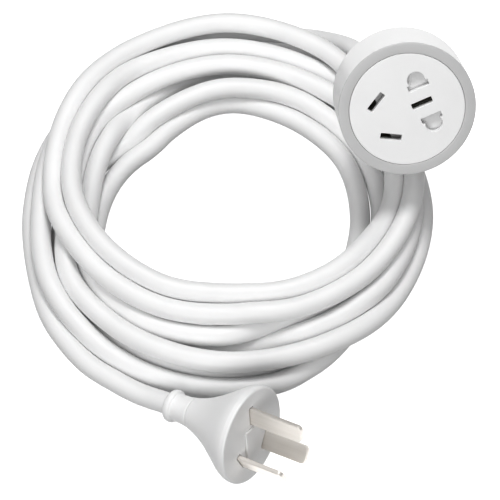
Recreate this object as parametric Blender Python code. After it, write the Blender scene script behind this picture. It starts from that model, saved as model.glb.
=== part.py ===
"""A three-core extension cord, loosely coiled, with a round socket head and a moulded three-pin plug.

Metres, +Z up. The cord's coil lies on the plane z = 0. The origin is on the coil's flat underside,
on the mean circle of its turns, at the +X side: +X points out of the coil there, and +Y is away from
the plug. The socket head and the plug each have a frame of their own, an empty whose +Z leaves the
mating face and whose +Y points at the earth pin, and every piece of them is drawn in that frame.
"""

import math

import bmesh
import bpy
from mathutils import Matrix, Vector

MM = 0.001
GAP = 0.3  # between pieces that touch, in mm as every size below

# The cord and its coil
CORD_RADIUS = 3.75
COIL_INNER, COIL_OUTER, COIL_HEIGHT = 46.5, 73.0, 25.0
COIL_MEAN = (COIL_INNER + COIL_OUTER) / 2
COIL_CENTRE = Vector((-COIL_MEAN, 0, 0))
COIL_FOOT_ROUND, COIL_TOP_ROUND = CORD_RADIUS, 11.5

# Where the two ends lie, from the coil's centre
HEAD_CENTRE = Vector((63.1, 8.0, 57.5))
HEAD_OUT = Vector((0.058, -0.8133, 0.5789))
HEAD_EARTH = Vector((0.9149, 0.2754, 0.2952))
PLUG_CENTRE = Vector((10.0, -96.2, 17.0))
PLUG_OUT = Vector((0.825, -0.492, 0.278))
PLUG_EARTH = Vector((-0.041, 0.437, 0.898))

# The pins' pattern, as three-pin plugs with flat pins have it: earth on the Y axis
PIN_WIDTH, PIN_THICKNESS = 6.35, 1.6
EARTH_UP = 10.31
LINE_SIDE, LINE_DOWN = 6.86, -3.96
LINE_LEAN = math.radians(30)
LINE_LENGTH, EARTH_LENGTH = 17.1, 20.0

# The socket head, with depths counted back from its face
HEAD_RADIUS = 23.75
HEAD_STRAIGHT, HEAD_DEPTH = 18.5, 25.0
HEAD_BACK_FLAT = 17.5
SHELL_INNER = 21.5
SHELL_BACK_INNER = 22.8
BEZEL_SEAT, BEZEL_OUTER, BEZEL_INNER, BEZEL_DEPTH = 22.9, 22.6, 20.05, 3.0
BEZEL_FLANGE = 0.8  # the ring laps over the shell's rim this deep
PLATE_RADIUS, PLATE_DEPTH = 19.75, 2.2
SLOT_LONG, SLOT_WIDE = 7.4, 2.1
HEAD_PATTERN_Y = -4.8  # the three-pin pattern sits this far off the plate's centre
TWO_POLE_Y = 6.6
ROUND_HOLE_X, ROUND_HOLE_R = 8.5, 3.0
FLAT_HOLE_X, FLAT_HOLE_WIDE = 6.35, 2.2
RECESS_RADIUS, RECESS_FLOOR = 17.0, 7.0
CARRIER_RADIUS, CARRIER_BACK = 21.2, 15.0
POST_X, POST_Y, POST_RADIUS = 14.5, -2.0, 2.9
SCREW_SHANK, SCREW_HEAD = 1.3, 2.5
CORD_EXIT_Y = -8.0
BOOT_FLANGE_DEPTH, BOOT_END = 21.2, 46.0
STRAP_NEAR, STRAP_FAR = 15.4, 16.2
LEAF = 0.6
GRIP_BACK = 16.0
CONTACT_TOP = 8.0
BARREL_RADIUS, BARREL_DEPTH = 1.5, 17.4
LINE_BARREL_X, LINE_BARREL_Y = 9.7, (-3.5, 0.8)
EARTH_BARREL_X, EARTH_BARREL_Y = 2.8, (9.5, 13.0)

# The shutters: both slide along the head's Y
TWO_POLE_TRAVEL, THREE_POLE_TRAVEL = 7.6, 4.0
TWO_POLE_SHUTTER = {"half": 12.8, "low": -0.9, "high": 10.5, "near": 2.6, "far": 4.3}
THREE_POLE_SHUTTER = {"half": 10.4, "low": -8.8, "high": -3.6, "near": 4.9, "far": 6.7}
SPRING_WIRE = 0.15
SPRING_STOP_Y = 5.3
SIDE_SPRING_X = 3.45

# The plug, with depths counted back from its face
PLUG_RADIUS = 17.0
PLUG_BODY_BACK, PLUG_BACK = 24.0, 33.5
PLUG_PATTERN_Y = -2.0
PAD_WIDE, PAD_LONG, PAD_Y, PAD_PROUD = 8.0, 12.0, -2.5, 0.6
CHAMBER_RADIUS, CHAMBER_FRONT = 11.0, 2.5
BRIDGE_RADIUS, BRIDGE_FRONT, BRIDGE_BACK = 10.6, 2.9, 7.2
CRIMP_RADIUS, CRIMP_NEAR, CRIMP_FAR = 1.4, 7.5, 11.0
CORE_RADIUS = 1.1

# Each stretch of cord that isn't coiled, from the coil's centre
SOCKET_TAIL = (
    (52.6, 51.8, 24.0), (51.3, 61.2, 18.6), (48.4, 70.2, 13.2), (42.9, 77.2, 8.7), (34.8, 81.9, 5.6),
    (24.0, 84.6, 4.1), (12.0, 84.4, 3.9), (0.5, 81.3, 3.9), (-9.5, 77.3, 3.9),
)
PLUG_TAIL = ((-23.9, -76.2, 5.2), (-29.8, -72.9, 4.1), (-36.3, -68.6, 3.9))

COLOURS = {
    "cord_pvc": ((0.82, 0.82, 0.81), 0.36, 0.0),
    "shell_plastic": ((0.84, 0.84, 0.83), 0.3, 0.0),
    "grey_plastic": ((0.56, 0.56, 0.56), 0.35, 0.0),
    "plate_plastic": ((0.80, 0.80, 0.80), 0.28, 0.0),
    "shutter_plastic": ((0.58, 0.58, 0.57), 0.4, 0.0),
    "carrier_plastic": ((0.72, 0.72, 0.70), 0.5, 0.0),
    "plug_pvc": ((0.83, 0.83, 0.82), 0.33, 0.0),
    "nickel": ((0.66, 0.64, 0.60), 0.25, 1.0),
    "brass": ((0.72, 0.53, 0.24), 0.35, 1.0),
    "steel": ((0.55, 0.55, 0.56), 0.3, 1.0),
    "brown_core": ((0.20, 0.09, 0.05), 0.45, 0.0),
    "blue_core": ((0.05, 0.16, 0.50), 0.45, 0.0),
    "earth_core": ((0.45, 0.55, 0.06), 0.45, 0.0),
}


def clear_scene():
    for old in list(bpy.data.objects):
        bpy.data.objects.remove(old, do_unlink=True)


def material(name):
    found = bpy.data.materials.get(name)
    if found:
        return found
    colour, roughness, metallic = COLOURS[name]
    made = bpy.data.materials.new(name)
    made.use_nodes = True
    shader = made.node_tree.nodes["Principled BSDF"]
    shader.inputs["Base Color"].default_value = (*colour, 1.0)
    shader.inputs["Roughness"].default_value = roughness
    shader.inputs["Metallic"].default_value = metallic
    return made


def frame(name, centre, out, up):
    """An empty at centre, from the coil's centre, with +Z along out and +Y as near to up as it can be."""
    z = out.normalized()
    x = up.cross(z).normalized()
    turn = Matrix((x, z.cross(x), z)).transposed().to_4x4()
    empty = bpy.data.objects.new(name, None)
    empty.matrix_world = Matrix.Translation((COIL_CENTRE + centre) * MM) @ turn
    bpy.context.scene.collection.objects.link(empty)
    return empty


def moving_frame(name, parent):
    """An empty at its parent's place, for a piece that slides along the parent's Y."""
    empty = bpy.data.objects.new(name, None)
    empty.parent = parent
    bpy.context.scene.collection.objects.link(empty)
    return empty


def add(name, data, slot, parent=None):
    made = bpy.data.objects.new(name, data)
    made.data.materials.append(material(slot))
    made.parent = parent
    bpy.context.scene.collection.objects.link(made)
    return made


def mesh_of(bm, name, smooth_below=35.0):
    """The mesh of bm, whose sizes are in mm, with its normals out and its round faces smooth."""
    bmesh.ops.remove_doubles(bm, verts=bm.verts, dist=1e-5)
    bmesh.ops.recalc_face_normals(bm, faces=bm.faces)
    bmesh.ops.scale(bm, vec=(MM, MM, MM), verts=bm.verts)
    mesh = bpy.data.meshes.new(name)
    bm.to_mesh(mesh)
    bm.free()
    mesh.shade_smooth()
    mesh.set_sharp_from_angle(angle=math.radians(smooth_below))
    return mesh


def spin_into(bm, profile, segments, centre=(0, 0)):
    """Turns a closed outline of (radius, z) about the Z axis through centre."""
    verts = [bm.verts.new((centre[0] + r, centre[1], z)) for r, z in profile]
    ends = list(zip(verts, verts[1:] + verts[:1]))
    on_axis = [abs(r) < 1e-9 for r, _ in profile]
    edges = [
        bm.edges.new(pair)
        for i, pair in enumerate(ends)
        if not (on_axis[i] and on_axis[(i + 1) % len(profile)])
    ]
    bmesh.ops.spin(
        bm, geom=verts + edges, cent=(*centre, 0), axis=(0, 0, 1), angle=math.tau,
        steps=segments, use_merge=True,
    )


def turned(name, profile, slot, parent=None, segments=48, centre=(0, 0)):
    bm = bmesh.new()
    spin_into(bm, profile, segments, centre)
    return add(name, mesh_of(bm, name), slot, parent)


def prism_into(bm, outline, low, high):
    """A straight prism over a closed outline of (x, y), from z = low to z = high."""
    face = bm.faces.new([bm.verts.new((x, y, low)) for x, y in outline])
    grown = bmesh.ops.extrude_face_region(bm, geom=[face])["geom"]
    top = [v for v in grown if isinstance(v, bmesh.types.BMVert)]
    bmesh.ops.translate(bm, vec=(0, 0, high - low), verts=top)


def box_outline(width, height, centre=(0, 0), lean=0.0):
    """A rectangle with its height along Y, leant by an angle from Y towards +X."""
    c, s = math.cos(lean), math.sin(lean)
    corners = ((-1, -1), (1, -1), (1, 1), (-1, 1))
    return [
        (centre[0] + a * width / 2 * c + b * height / 2 * s, centre[1] - a * width / 2 * s + b * height / 2 * c)
        for a, b in corners
    ]


def circle_outline(radius, centre=(0, 0), segments=24, start=0.0, turn=math.tau):
    count = segments if turn == math.tau else segments + 1
    angles = [start + turn * i / segments for i in range(count)]
    return [(centre[0] + radius * math.cos(a), centre[1] + radius * math.sin(a)) for a in angles]


def moved_outline(outline, centre, lean):
    """An outline turned by lean from Y towards +X, then moved to centre."""
    c, s = math.cos(lean), math.sin(lean)
    return [(centre[0] + x * c + y * s, centre[1] - x * s + y * c) for x, y in outline]


def arc(centre, radii, start, end, steps):
    """Points of an ellipse's arc, in degrees, both ends included."""
    angles = [math.radians(start + (end - start) * i / steps) for i in range(steps + 1)]
    return [(centre[0] + radii[0] * math.cos(a), centre[1] + radii[1] * math.sin(a)) for a in angles]


def boolean(target, bm, operation, label):
    """Cuts or joins the shapes in bm, in the target's own frame."""
    name = f"{target.name}_{label}"
    tool = bpy.data.objects.new(name, mesh_of(bm, name))
    tool.parent = target.parent
    tool.hide_render = True
    tool.display_type = "WIRE"
    bpy.context.scene.collection.objects.link(tool)
    modifier = target.modifiers.new(label, "BOOLEAN")
    modifier.operation = operation
    modifier.object = tool
    modifier.solver = "EXACT"


def smooth_route(points, count):
    """Count points spread evenly along a Catmull-Rom curve through the route's points."""
    ends = [points[0] * 2 - points[1], *points, points[-1] * 2 - points[-2]]
    fine = []
    for a, b, c, d in zip(ends, ends[1:], ends[2:], ends[3:]):
        for i in range(24):
            t = i / 24
            fine.append(
                (2 * b + (c - a) * t + (2 * a - 5 * b + 4 * c - d) * t**2 + (3 * b - a - 3 * c + d) * t**3) / 2
            )
    fine.append(points[-1])
    along = [0.0]
    for p, q in zip(fine, fine[1:]):
        along.append(along[-1] + (q - p).length)
    route, k = [], 0
    for i in range(count):
        want = along[-1] * i / (count - 1)
        while k < len(along) - 2 and along[k + 1] < want:
            k += 1
        share = (want - along[k]) / (along[k + 1] - along[k])
        route.append(fine[k].lerp(fine[k + 1], share))
    return route


def tube(name, points, radius, slot, count, parent=None, resolution=3, straight_ends=1):
    """A round tube along a smooth route in mm, straight between its first two points and perhaps its last."""
    curve = bpy.data.curves.new(name, "CURVE")
    curve.dimensions = "3D"
    spline = curve.splines.new("POLY")
    points = [Vector(p) for p in points]
    lead = (points[1] - points[0]).length + radius
    route = points[:2] + [p for p in smooth_route(points, count) if (p - points[0]).length > lead]
    if straight_ends == 2:
        lead = (points[-2] - points[-1]).length + radius
        route = [p for p in route if (p - points[-1]).length > lead] + points[-2:]
    spline.points.add(len(route) - 1)
    for point, place in zip(spline.points, route):
        point.co = (*(place * MM), 1.0)
    curve.bevel_depth = radius * MM
    curve.bevel_resolution = resolution
    curve.use_fill_caps = True
    return add(name, curve, slot, parent)


def line_pins(pattern_y):
    """(side, centre, lean) of the two tilted pins, the one at -X first."""
    return [
        (side, (side * LINE_SIDE, pattern_y + LINE_DOWN), side * LINE_LEAN)
        for side in (-1, 1)
    ]


# The socket head


def make_shell(head):
    inner_flat = HEAD_BACK_FLAT - 1.0
    outer_dome = arc((HEAD_BACK_FLAT, -HEAD_STRAIGHT), (HEAD_RADIUS - HEAD_BACK_FLAT, HEAD_DEPTH - HEAD_STRAIGHT), 0, -90, 6)
    inner_dome = arc((inner_flat, -HEAD_STRAIGHT), (SHELL_INNER - inner_flat, SHELL_BACK_INNER - HEAD_STRAIGHT), -90, 0, 5)
    seat = BEZEL_DEPTH + 0.2
    rim = BEZEL_FLANGE + GAP
    profile = [(BEZEL_SEAT, -rim), (HEAD_RADIUS - 0.2, -rim), (HEAD_RADIUS, -rim - 0.2), *outer_dome, (0, -HEAD_DEPTH)]
    profile += [(0, -SHELL_BACK_INNER), *inner_dome, (SHELL_INNER, -seat), (BEZEL_SEAT, -seat)]
    shell = turned("back_shell", profile, "shell_plastic", head, 48)
    holes = bmesh.new()
    out, inside = -HEAD_DEPTH - 1, -SHELL_BACK_INNER + 1
    prism_into(holes, circle_outline(4.9, (0, CORD_EXIT_Y), 24), out, inside)
    for side in (-1, 1):
        counterbore = circle_outline(SCREW_HEAD + 0.4, (side * POST_X, POST_Y), 20)
        prism_into(holes, counterbore, out, -HEAD_DEPTH + 1.1)
    boolean(shell, holes, "DIFFERENCE", "openings")
    shafts = bmesh.new()
    for side in (-1, 1):
        prism_into(shafts, circle_outline(SCREW_SHANK + 0.4, (side * POST_X, POST_Y), 12), out + 0.5, inside)
    boolean(shell, shafts, "DIFFERENCE", "screw_holes")


def make_bezel(head):
    edge = 0.25
    profile = [
        (BEZEL_INNER, -BEZEL_DEPTH), (BEZEL_INNER, -edge), (BEZEL_INNER + edge, 0),
        (HEAD_RADIUS - edge, 0), (HEAD_RADIUS, -edge), (HEAD_RADIUS, -BEZEL_FLANGE), (BEZEL_OUTER, -BEZEL_FLANGE),
        (BEZEL_OUTER, -BEZEL_DEPTH),
    ]
    turned("bezel_ring", profile[::-1], "grey_plastic", head, 48)


def keyhole_outline(side):
    """A round hole that runs into a flat slot nearer the middle."""
    slot_outer, slot_inner = FLAT_HOLE_X + FLAT_HOLE_WIDE / 2, FLAT_HOLE_X - FLAT_HOLE_WIDE / 2
    half = SLOT_LONG / 2
    reach = math.acos((ROUND_HOLE_X - slot_outer) / ROUND_HOLE_R)
    bulge = circle_outline(ROUND_HOLE_R, (ROUND_HOLE_X, 0), 16, -(math.pi - reach), 2 * (math.pi - reach))
    shape = [(slot_outer, -half), *bulge, (slot_outer, half), (slot_inner, half), (slot_inner, -half)]
    return [(side * x, TWO_POLE_Y + y) for x, y in shape]


def make_plate(head):
    edge = 0.3
    profile = [(0, 0), (PLATE_RADIUS - edge, 0), (PLATE_RADIUS, -edge), (PLATE_RADIUS, -PLATE_DEPTH), (0, -PLATE_DEPTH)]
    plate = turned("face_plate", profile, "plate_plastic", head, 48)
    slots = bmesh.new()
    low, high = -PLATE_DEPTH - 1, 1
    for side, centre, lean in line_pins(HEAD_PATTERN_Y):
        prism_into(slots, box_outline(SLOT_WIDE, SLOT_LONG, centre, lean), low, high)
        prism_into(slots, keyhole_outline(side), low, high)
    prism_into(slots, box_outline(SLOT_WIDE, SLOT_LONG, (0, HEAD_PATTERN_Y + EARTH_UP)), low, high)
    boolean(plate, slots, "DIFFERENCE", "slots")


def make_carrier(head):
    rim, step = PLATE_DEPTH + GAP, BEZEL_DEPTH + 0.5
    profile = [
        (0, -RECESS_FLOOR), (RECESS_RADIUS, -RECESS_FLOOR), (RECESS_RADIUS, -rim), (19.6, -rim), (19.6, -step),
        (CARRIER_RADIUS, -step), (CARRIER_RADIUS, -CARRIER_BACK), (0, -CARRIER_BACK),
    ]
    carrier = turned("contact_carrier", profile, "carrier_plastic", head, 48)
    posts = bmesh.new()
    for side in (-1, 1):
        post = circle_outline(POST_RADIUS, (side * POST_X, POST_Y), 16)
        prism_into(posts, post, -SHELL_BACK_INNER + 0.5, -CARRIER_BACK + 1)
        rail = box_outline(1.2, 10.0, (side * 13.8, 0))
        prism_into(posts, rail, -RECESS_FLOOR - 0.5, -2.8)
        stop = box_outline(1.9, 1.2, (side * SIDE_SPRING_X, SPRING_STOP_Y + 0.6))
        prism_into(posts, stop, -RECESS_FLOOR - 0.5, -4.8)
    boolean(carrier, posts, "UNION", "posts")
    pockets = bmesh.new()
    low, high = -CARRIER_BACK - 1, -RECESS_FLOOR + 0.2
    earth_y = HEAD_PATTERN_Y + EARTH_UP
    for side, centre, lean in line_pins(HEAD_PATTERN_Y):
        prism_into(pockets, box_outline(4.6, 8.8, centre, lean), low, high)
        prism_into(pockets, box_outline(8.4, 8.8, (side * 8.9, TWO_POLE_Y)), low, high)
        pilot = circle_outline(SCREW_SHANK + GAP, (side * POST_X, POST_Y), 12)
        prism_into(pockets, pilot, -SHELL_BACK_INNER - 1, -12.5)
    prism_into(pockets, box_outline(4.2, 8.8, (0, earth_y)), low, high)
    boolean(carrier, pockets, "DIFFERENCE", "pockets")


def channel_outline(gap, length):
    """A strip folded into a C, open at -Y: two leaves and the wall that joins them."""
    inside, outside, half = gap / 2, gap / 2 + LEAF, length / 2
    return [
        (-outside, -half), (-inside, -half), (-inside, half), (inside, half),
        (inside, -half), (outside, -half), (outside, half + LEAF), (-outside, half + LEAF),
    ]


def barrel_into(bm, x, reach):
    """A crimp barrel that lies along Y, open or closed ends alike drawn solid."""
    middle = (reach[0] + reach[1]) / 2
    place = Matrix.Translation((x, middle, -BARREL_DEPTH)) @ Matrix.Rotation(math.radians(90), 4, "X")
    bmesh.ops.create_cone(
        bm, cap_ends=True, segments=12, radius1=BARREL_RADIUS, radius2=BARREL_RADIUS,
        depth=reach[1] - reach[0], matrix=place,
    )


def make_line_contact(name, side, head):
    """A brass strip with one grip for a tilted flat pin and one for a two-pin plug's pin."""
    lean, centre = side * LINE_LEAN, (side * LINE_SIDE, HEAD_PATTERN_Y + LINE_DOWN)
    grip = bmesh.new()
    prism_into(grip, moved_outline(channel_outline(1.5, 6.6), centre, lean), -GRIP_BACK, -CONTACT_TOP)
    contact = add(name, mesh_of(grip, name), "brass", head)
    wide = bmesh.new()
    fold = moved_outline(channel_outline(4.2, 7.2), (side * 8.6, TWO_POLE_Y), side * math.radians(90))
    prism_into(wide, fold, -GRIP_BACK, -CONTACT_TOP)
    boolean(contact, wide, "UNION", "wide_grip")
    tab = bmesh.new()
    outward = (centre[0] + side * 4.15 * math.sin(LINE_LEAN), centre[1] + 4.15 * math.cos(LINE_LEAN))
    prism_into(tab, box_outline(2.6, 1.7, outward, lean), -STRAP_FAR + 0.07, -STRAP_NEAR - 0.07)
    boolean(contact, tab, "UNION", "tab")
    strap = bmesh.new()
    prism_into(strap, box_outline(2.0, 9.6, (side * 10.2, -0.5)), -STRAP_FAR, -STRAP_NEAR)
    boolean(contact, strap, "UNION", "strap")
    barrel = bmesh.new()
    barrel_into(barrel, side * LINE_BARREL_X, LINE_BARREL_Y)
    boolean(contact, barrel, "UNION", "barrel")


def make_earth_contact(head):
    earth_y = HEAD_PATTERN_Y + EARTH_UP
    grip = bmesh.new()
    prism_into(grip, moved_outline(channel_outline(1.5, 6.8), (0, earth_y), 0), -GRIP_BACK, -CONTACT_TOP)
    contact = add("earth_contact", mesh_of(grip, "earth_contact"), "brass", head)
    strap = bmesh.new()
    prism_into(strap, box_outline(5.3, 3.6, (1.6, 10.95)), -STRAP_FAR, -STRAP_NEAR)
    boolean(contact, strap, "UNION", "strap")
    barrel = bmesh.new()
    barrel_into(barrel, EARTH_BARREL_X, EARTH_BARREL_Y)
    boolean(contact, barrel, "UNION", "barrel")


def make_shutters(head):
    slider = moving_frame("two_pole_slide", head)
    s = TWO_POLE_SHUTTER
    notch, floor = 2.4, 1.0
    outline = [
        (-s["half"], s["low"]), (s["half"], s["low"]), (s["half"], s["high"]), (notch, s["high"]),
        (notch, floor), (-notch, floor), (-notch, s["high"]), (-s["half"], s["high"]),
    ]
    bm = bmesh.new()
    prism_into(bm, outline, -s["far"], -s["near"])
    add("two_pole_shutter", mesh_of(bm, "two_pole_shutter"), "shutter_plastic", slider)
    slider = moving_frame("three_pole_slide", head)
    s = THREE_POLE_SHUTTER
    bm = bmesh.new()
    middle = (s["low"] + s["high"]) / 2
    prism_into(bm, box_outline(2 * s["half"], s["high"] - s["low"], (0, middle)), -s["far"], -s["near"])
    add("three_pole_shutter", mesh_of(bm, "three_pole_shutter"), "shutter_plastic", slider)


def make_spring(name, x, start_y, end_y, depth, coil_radius, turns, head):
    """A helical compression spring that lies along Y, its wire ends inside the last turns."""
    curve = bpy.data.curves.new(name, "CURVE")
    curve.dimensions = "3D"
    spline = curve.splines.new("POLY")
    per_turn = 8
    steps = turns * per_turn
    spline.points.add(steps)
    reach = end_y - start_y - math.copysign(2 * SPRING_WIRE, end_y - start_y)
    first = start_y + math.copysign(SPRING_WIRE, end_y - start_y)
    for i, point in enumerate(spline.points):
        angle = math.tau * i / per_turn
        place = Vector((x + coil_radius * math.cos(angle), first + reach * i / steps, coil_radius * math.sin(angle) - depth))
        point.co = (*(place * MM), 1.0)
    curve.bevel_depth = SPRING_WIRE * MM
    curve.bevel_resolution = 1
    curve.use_fill_caps = True
    add(name, curve, "steel", head)


def make_springs(head):
    two, three = TWO_POLE_SHUTTER, THREE_POLE_SHUTTER
    depth = (two["near"] + two["far"]) / 2
    make_spring("two_pole_spring", 0, two["low"] - GAP, -16.3, depth, 0.65, 9, head)
    depth = (three["near"] + three["far"]) / 2
    for word, side in (("left", -1), ("right", 1)):
        spring_x = side * SIDE_SPRING_X
        make_spring(f"three_pole_spring_{word}", spring_x, three["high"] + GAP, SPRING_STOP_Y - GAP, depth, 0.7, 6, head)


def make_housing_screws(head):
    top = HEAD_DEPTH - 0.2
    seat = HEAD_DEPTH - 1.1 + GAP
    for word, side in (("left", -1), ("right", 1)):
        name = f"housing_screw_{word}"
        profile = [
            (0, -14.0), (SCREW_SHANK - 0.5, -14.0), (SCREW_SHANK, -14.8), (SCREW_SHANK, -seat),
            (SCREW_HEAD, -seat), (SCREW_HEAD, -top + 0.2), (SCREW_HEAD - 0.3, -top), (0, -top),
        ]
        screw = turned(name, profile[::-1], "steel", head, 16, (side * POST_X, POST_Y))
        recess = bmesh.new()
        prism_into(recess, box_outline(0.6, 2.6, (side * POST_X, POST_Y)), -top - 0.5, -top + 0.35)
        boolean(screw, recess, "DIFFERENCE", "slot")


def make_socket_boot(head):
    """The strain relief: a flange inside the shell, a neck in its hole and a ribbed taper outside."""
    flange_in, flange_out, outside = BOOT_FLANGE_DEPTH, SHELL_BACK_INNER - GAP, HEAD_DEPTH + GAP
    taper = []
    ribs, start, pitch = 4, outside + 2.2, 4.0
    for i in range(ribs):
        at = start + i * pitch
        radius = 5.5 - 0.22 * i
        taper += [(radius, -at), (radius - 0.1, -at - 2.6), (radius - 0.8, -at - 2.9), (radius - 0.8, -at - 3.7)]
    profile = [
        (0, -flange_in), (6.4, -flange_in), (6.4, -flange_out), (4.6, -flange_out), (4.6, -outside),
        (5.8, -outside), (5.8, -outside - 1.6), *taper, (4.55, -start - ribs * pitch), (4.4, -BOOT_END), (0, -BOOT_END),
    ]
    turned("socket_strain_relief", profile, "cord_pvc", head, 24, (0, CORD_EXIT_Y))


def make_head_cores(head):
    near = -BOOT_FLANGE_DEPTH + GAP
    for name, side, slot in (("socket_live_core", 1, "brown_core"), ("socket_neutral_core", -1, "blue_core")):
        end_x, end_y = side * LINE_BARREL_X, LINE_BARREL_Y[0] - GAP
        route = [
            (side * 1.4, -8.8, near), (side * 1.5, -8.8, near + 1.2), (side * 3.6, -8.8, -18.5),
            (side * 6.6, -8.4, -17.9), (side * 9.0, -6.8, -17.5),
            (end_x, end_y - 1.4, -BARREL_DEPTH), (end_x, end_y, -BARREL_DEPTH),
        ]
        tube(name, route, CORE_RADIUS, slot, 10, head, 2, 2)
    end_x, end_y = EARTH_BARREL_X, EARTH_BARREL_Y[0] - GAP
    route = [
        (0, -6.5, near), (0, -6.4, near + 1.2), (0.9, -4.2, -18.4), (2.0, -0.5, -17.7), (2.7, 4.0, -17.5),
        (end_x, end_y - 1.4, -BARREL_DEPTH), (end_x, end_y, -BARREL_DEPTH),
    ]
    tube("socket_earth_core", route, CORE_RADIUS, "earth_core", 11, head, 2, 2)


# The plug


def make_plug_body(plug):
    outer = [
        (0, 0), (PLUG_RADIUS - 0.7, 0), (PLUG_RADIUS - 0.1, -0.5), (PLUG_RADIUS, -1.4), (PLUG_RADIUS - 0.2, -2.8),
        (15.9, -4.8), (14.2, -7.4), (12.0, -10.6), (9.8, -14.0), (7.9, -17.4), (6.5, -20.6), (5.4, -PLUG_BODY_BACK),
    ]
    inner = [
        (3.4, -PLUG_BODY_BACK), (3.4, -20.5), (6.3, -17.2), (8.4, -13.8), (10.1, -10.8), (10.4, -8.0),
        (CHAMBER_RADIUS, -7.6), (CHAMBER_RADIUS, -CHAMBER_FRONT), (0, -CHAMBER_FRONT),
    ]
    body = turned("plug_body", outer + inner, "plug_pvc", plug, 48)
    holes = bmesh.new()
    low, high = -CHAMBER_FRONT - 1, 1
    room = 2 * GAP
    prism_into(holes, box_outline(PAD_WIDE + room, PAD_LONG + room, (0, PAD_Y)), low, high)
    boolean(body, holes, "DIFFERENCE", "pad_window")
    slots = bmesh.new()
    for _, centre, lean in line_pins(PLUG_PATTERN_Y):
        prism_into(slots, box_outline(PIN_THICKNESS + room, PIN_WIDTH + room, centre, lean), low, high)
    earth = (0, PLUG_PATTERN_Y + EARTH_UP)
    prism_into(slots, box_outline(PIN_THICKNESS + room, PIN_WIDTH + room, earth), low, high)
    boolean(body, slots, "DIFFERENCE", "pin_slots")


def pin_neck(centre, inward=0.0):
    """Centre and width of the narrow part of a pin inside the plug."""
    return (centre[0], centre[1] - inward), 3.0


def make_bridge(plug):
    bm = bmesh.new()
    spin_into(bm, [(0, -BRIDGE_BACK), (BRIDGE_RADIUS, -BRIDGE_BACK), (BRIDGE_RADIUS, -BRIDGE_FRONT), (0, -BRIDGE_FRONT)], 36)
    bridge = add("pin_bridge", mesh_of(bm, "pin_bridge"), "plug_pvc", plug)
    pad = bmesh.new()
    prism_into(pad, box_outline(PAD_WIDE, PAD_LONG, (0, PAD_Y)), -BRIDGE_FRONT - 1, PAD_PROUD)
    boolean(bridge, pad, "UNION", "pad")
    slots = bmesh.new()
    low, high = -BRIDGE_BACK - 1, -BRIDGE_FRONT + 0.3
    room = 2 * GAP
    for _, centre, lean in line_pins(PLUG_PATTERN_Y):
        middle, wide = pin_neck(centre)
        prism_into(slots, box_outline(PIN_THICKNESS + room, wide + room, middle, lean), low, high)
    middle, wide = pin_neck((0, PLUG_PATTERN_Y + EARTH_UP), 1.2)
    prism_into(slots, box_outline(PIN_THICKNESS + room, wide + room, middle), low, high)
    boolean(bridge, slots, "DIFFERENCE", "pin_slots")


def blade_outline(length):
    """A pin seen on its wide side, root at y = 0, with a rounded tip."""
    half, tip = PIN_WIDTH / 2, 1.6
    left = arc((-half + tip, length - tip), (tip, tip), 180, 90, 4)
    right = arc((half - tip, length - tip), (tip, tip), 90, 0, 4)
    return [(half, -2.2), *right[::-1], *left[::-1], (-half, -2.2)]


def make_pin(name, centre, lean, length, inward, crimp, plug):
    """A flat pin: blade, a narrower neck through the bridge and a crimp for its core."""
    bm = bmesh.new()
    prism_into(bm, blade_outline(length), -PIN_THICKNESS / 2, PIN_THICKNESS / 2)
    bmesh.ops.rotate(bm, verts=bm.verts, matrix=Matrix.Rotation(math.radians(90), 3, "X"))
    bmesh.ops.rotate(bm, verts=bm.verts, matrix=Matrix.Rotation(math.radians(90) - lean, 3, "Z"))
    bmesh.ops.translate(bm, verts=bm.verts, vec=(*centre, 0))
    pin = add(name, mesh_of(bm, name), "nickel", plug)
    bevel = pin.modifiers.new("edges", "BEVEL")
    bevel.width = 0.25 * MM
    bevel.segments = 2
    bevel.limit_method = "ANGLE"
    bevel.angle_limit = math.radians(50)
    middle, wide = pin_neck(centre, inward)
    neck = bmesh.new()
    prism_into(neck, box_outline(PIN_THICKNESS - 0.3, wide, middle, lean), -CRIMP_NEAR - 0.8, -1.7)
    boolean(pin, neck, "UNION", "neck")
    barrel = bmesh.new()
    prism_into(barrel, circle_outline(CRIMP_RADIUS, crimp, 12), -CRIMP_FAR, -CRIMP_NEAR)
    boolean(pin, barrel, "UNION", "crimp")


def make_pins(plug):
    """The pins, and the cores that run from the strain relief to their crimps."""
    (_, left, left_lean), (_, right, right_lean) = line_pins(PLUG_PATTERN_Y)
    earth = (0, PLUG_PATTERN_Y + EARTH_UP)
    pins = (
        ("live", left, left_lean, LINE_LENGTH, 0.0, (-5.4, -4.9), (-0.866, -0.5), "brown_core"),
        ("neutral", right, right_lean, LINE_LENGTH, 0.0, (5.4, -4.9), (0.866, -0.5), "blue_core"),
        ("earth", earth, 0.0, EARTH_LENGTH, 1.2, (0, 6.6), (0, 1), "earth_core"),
    )
    for word, centre, lean, length, inward, crimp, lay, slot in pins:
        make_pin(f"{word}_pin", centre, lean, length, inward, crimp, plug)
        crimp_end = -CRIMP_FAR - GAP
        start = Vector(lay) * 1.6
        middle = start.lerp(Vector(crimp), 0.45)
        route = [(*start, -PLUG_BODY_BACK + 0.1), (*start, -21.5), (*start, -19.0), (*middle, -15.6)]
        route += [(*crimp, crimp_end - 1.2), (*crimp, crimp_end)]
        tube(f"plug_{word}_core", route, CORE_RADIUS, slot, 9, plug, 2, 2)


def make_plug_strain_relief(plug):
    front = PLUG_BODY_BACK + GAP
    profile = [
        (0, -front), (5.3, -front), (4.95, -26.4), (4.8, -29.0), (4.8, -30.8), (5.6, -31.2), (5.75, -32.0),
        (5.6, -33.0), (5.2, -PLUG_BACK), (0, -PLUG_BACK),
    ]
    turned("plug_strain_relief", profile, "plug_pvc", plug, 32)


# The cord


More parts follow.
